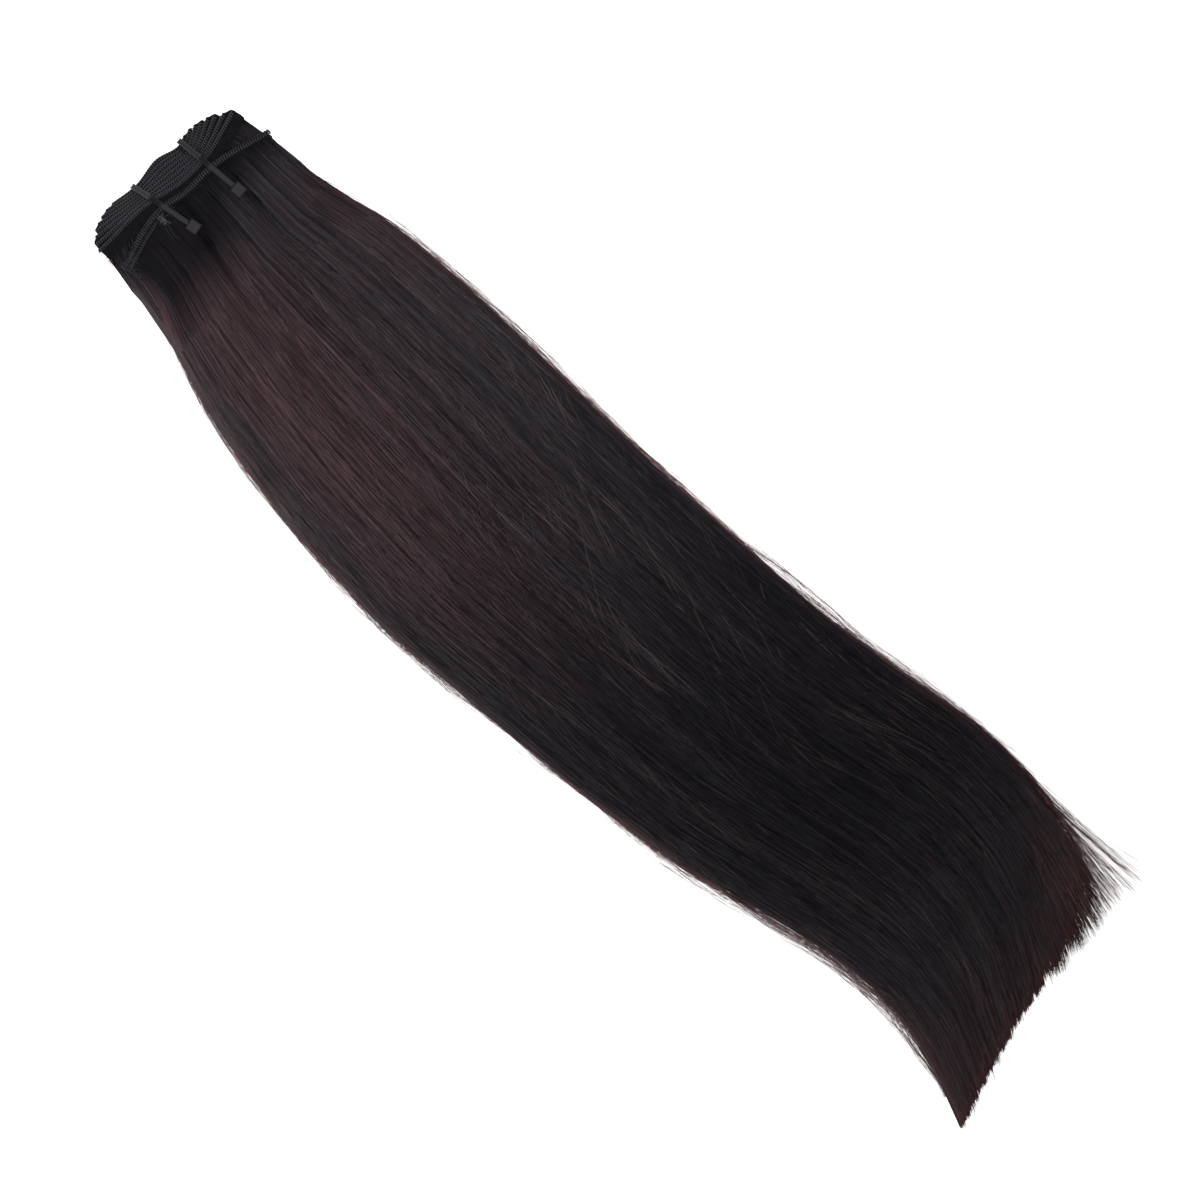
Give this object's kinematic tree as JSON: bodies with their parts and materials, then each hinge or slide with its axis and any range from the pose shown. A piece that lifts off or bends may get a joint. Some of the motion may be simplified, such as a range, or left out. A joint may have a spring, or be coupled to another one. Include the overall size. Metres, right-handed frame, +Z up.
{
  "type": "hair extension bundle",
  "caption": "Bundle of long straight dark hair on a folded machine-sewn weft held by small cable ties, lying flat, for sewing or clipping into a hairstyle.",
  "frame": {"origin": "centre of the footprint, on the surface that the bundle lies on", "axes": "+Y from the cut ends of the hair towards the sewn weft, +Z up, +X to the right when seen from above with the weft at the top"},
  "size_m": [0.149, 0.547, 0.029],
  "materials": {
    "hair": "very dark brown straight hair with a soft sheen along the strands",
    "sewn_weft": "black thread, matt",
    "nylon": "black moulded nylon, satin"
  },
  "bodies": {
    "root": {"weft_stack": "sewn_weft", "weft_front": "sewn_weft", "hair_fall": "hair", "cable_tie_left": "nylon", "cable_tie_right": "nylon"}
  },
  "joints": []
}
